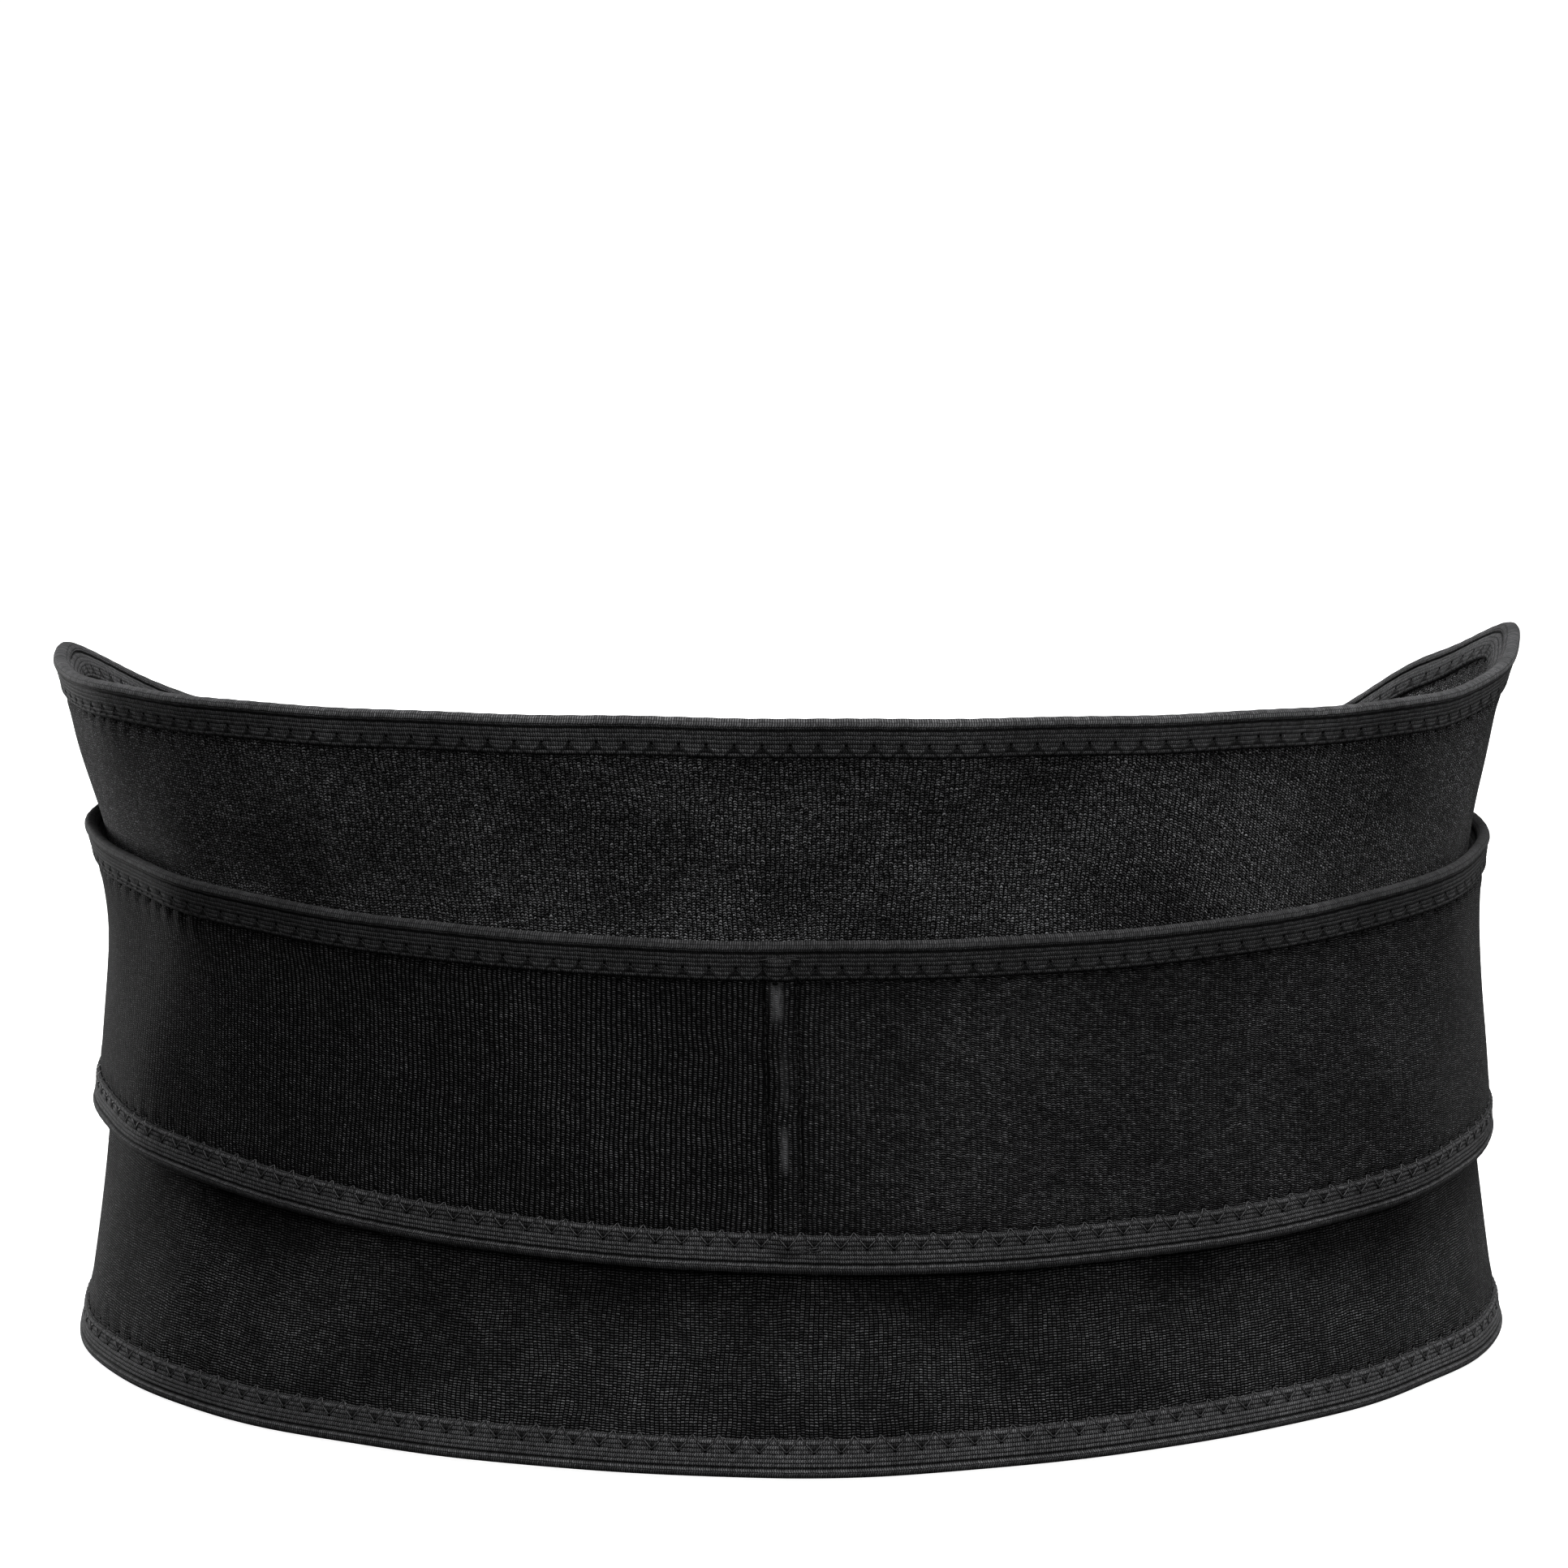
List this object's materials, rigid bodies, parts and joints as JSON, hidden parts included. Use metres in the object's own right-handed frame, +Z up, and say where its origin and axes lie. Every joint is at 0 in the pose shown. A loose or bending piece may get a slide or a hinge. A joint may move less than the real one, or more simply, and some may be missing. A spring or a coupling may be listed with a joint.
{
  "type": "lumbar support belt",
  "caption": "Wide flared waist belt with bound edges, a narrower tension band over it, stays at the back and lapped hook and loop wings.",
  "frame": {"origin": "middle of the closed belt's box, at the height of the edge it stands on", "axes": "+Z up; the back of the belt faces -Y and its lapped front +Y; +X is the wearer's right"},
  "size_m": [0.3704, 0.2728, 0.1821],
  "materials": {
    "neoprene": "knit-faced foam rubber, matt",
    "band_knit": "fine knit, matt",
    "binding_tape": "ribbed elastic knit",
    "lining": "brushed knit, matt",
    "hook_tape": "moulded hooks",
    "loop_tape": "looped pile",
    "spring_steel": "satin",
    "stay_plastic": "matt"
  },
  "bodies": {
    "back": {"back_panel": "neoprene", "back_binding_top": "binding_tape", "back_binding_bottom": "binding_tape", "band_back": "band_knit", "band_back_binding_top": "binding_tape", "band_back_binding_bottom": "binding_tape", "centre_stay": "stay_plastic", "back_stay_1": "spring_steel", "back_stay_2": "spring_steel", "back_stay_3": "spring_steel", "back_stay_4": "spring_steel", "stay_pocket_panel": "lining"},
    "left_wing": {"left_wing_panel": "neoprene", "left_wing_binding": "binding_tape", "left_band_side": "band_knit", "left_band_side_binding_top": "binding_tape", "left_band_side_binding_bottom": "binding_tape", "left_band_landing": "loop_tape", "left_closure_hook": "hook_tape"},
    "right_wing": {"right_wing_panel": "neoprene", "right_wing_binding": "binding_tape", "right_band_side": "band_knit", "right_band_side_binding_top": "binding_tape", "right_band_side_binding_bottom": "binding_tape", "right_band_landing": "loop_tape", "right_closure_loop": "loop_tape"},
    "left_band_tail": {"left_band_end": "band_knit", "left_band_end_binding": "binding_tape", "left_band_hook": "hook_tape"},
    "right_band_tail": {"right_band_end": "band_knit", "right_band_end_binding": "binding_tape", "right_band_hook": "hook_tape"}
  },
  "joints": [
    {"name": "left_wing_open", "type": "hinge", "parent": "back", "child": "left_wing", "pos_m": [-0.17227, 0.0502, 0.08], "axis": [0, 0, 1], "range_deg": [0, 70]},
    {"name": "right_wing_open", "type": "hinge", "parent": "back", "child": "right_wing", "pos_m": [0.17227, 0.0502, 0.08], "axis": [0, 0, -1], "range_deg": [0, 70]},
    {"name": "left_band_peel", "type": "hinge", "parent": "left_wing", "child": "left_band_tail", "pos_m": [-0.13629, 0.08923, 0.08], "axis": [0, 0, 1], "range_deg": [0, 85]},
    {"name": "right_band_peel", "type": "hinge", "parent": "right_wing", "child": "right_band_tail", "pos_m": [0.13629, 0.08923, 0.08], "axis": [0, 0, -1], "range_deg": [0, 85]}
  ],
  "couplings": [
    {"joint": "right_wing_open", "follows": "left_wing_open", "ratio": 1}
  ]
}
